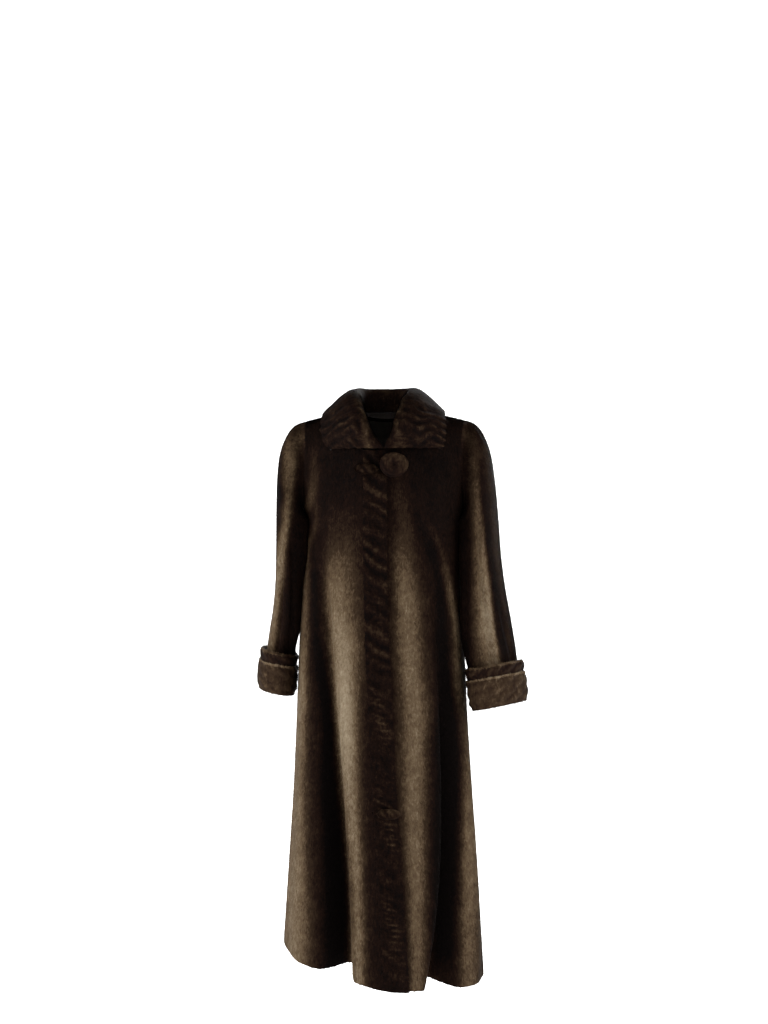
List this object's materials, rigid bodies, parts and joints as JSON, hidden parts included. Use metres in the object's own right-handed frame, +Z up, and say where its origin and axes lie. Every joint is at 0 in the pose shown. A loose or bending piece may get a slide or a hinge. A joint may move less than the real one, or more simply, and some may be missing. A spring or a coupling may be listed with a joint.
{
  "type": "fur coat",
  "caption": "Full-length flared fur coat with a wide wing collar, full set-in sleeves, turned-back layered cuffs, a ribbed front band and a large fur-covered button at the neck.",
  "frame": {"origin": "midway between the points where the shoulder seams meet the neck, inside the open neck", "axes": "+Z up, -Y towards the front of the coat, +X towards the wearer's left"},
  "size_m": [0.6193, 0.4493, 1.3096],
  "materials": {
    "fur": "velvety sheared fur",
    "ribbed_fur": "dark wavy sheared fur"
  },
  "bodies": {
    "root": {"front_right": "fur", "front_left": "fur", "back": "fur", "sleeve_right": "fur", "sleeve_left": "fur", "front_band": "ribbed_fur", "collar": "ribbed_fur", "cuff_right_lower": "ribbed_fur", "cuff_left_lower": "ribbed_fur", "cuff_right_upper": "ribbed_fur", "cuff_left_upper": "ribbed_fur", "button": "ribbed_fur", "button_loop": "ribbed_fur", "closure_tab": "ribbed_fur"}
  },
  "joints": []
}
